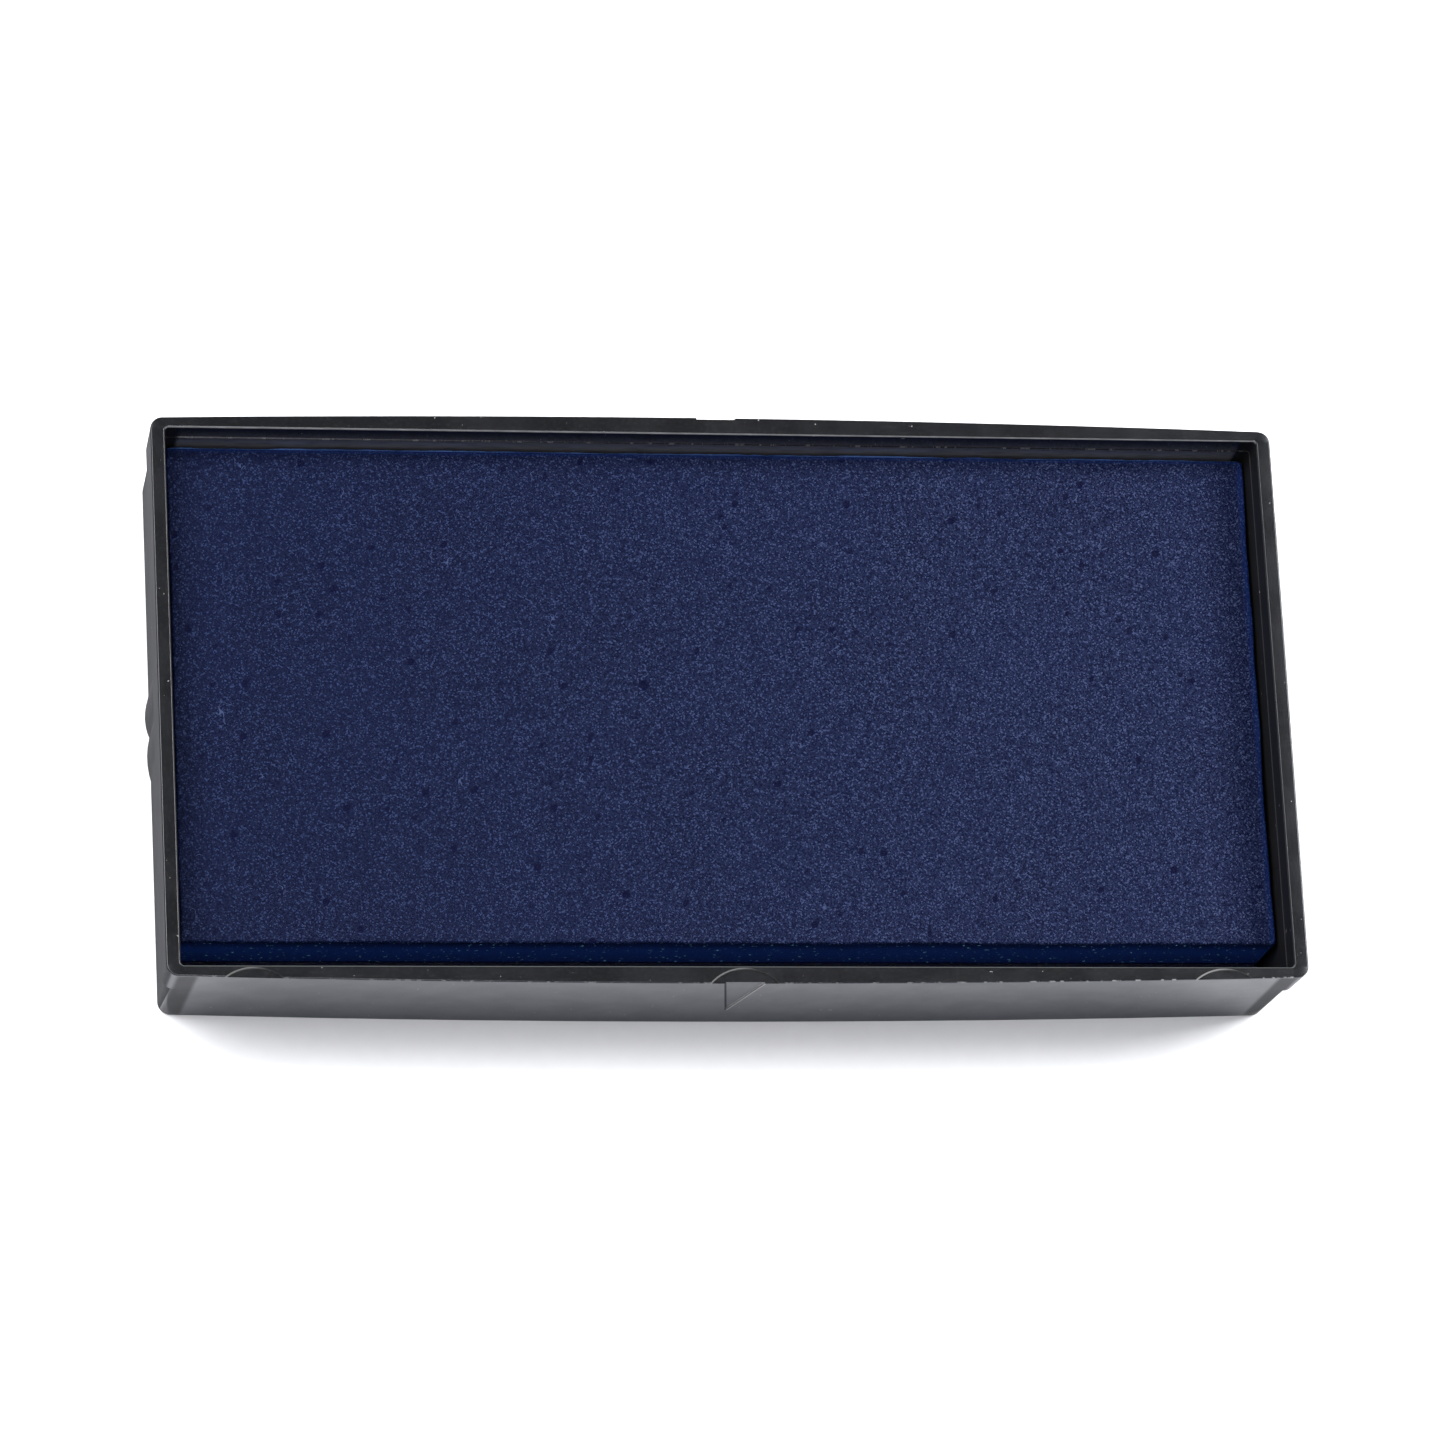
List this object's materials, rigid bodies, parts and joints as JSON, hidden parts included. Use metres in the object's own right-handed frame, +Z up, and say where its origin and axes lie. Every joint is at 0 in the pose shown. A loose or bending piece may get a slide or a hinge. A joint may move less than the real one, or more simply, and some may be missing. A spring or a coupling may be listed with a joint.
{
  "type": "ink pad",
  "caption": "Open moulded plastic tray with bowed long walls and stepped ends, holding an ink-soaked foam stamping pad over a felt reservoir.",
  "frame": {"origin": "middle of the underside of the tray", "axes": "+X along the length, +Y towards the wall that the foam lies against, +Z up out of the open top"},
  "size_m": [0.0824, 0.0428, 0.012],
  "materials": {
    "tray_plastic": "satin black injection moulding with fine grain",
    "soaked_felt": "felt soaked with blue ink",
    "inked_foam": "fine-pored foam soaked with blue ink, matt with a wet sheen at its edges"
  },
  "bodies": {
    "root": {"tray": "tray_plastic", "ink_reservoir": "soaked_felt", "foam_pad": "inked_foam"}
  },
  "joints": []
}
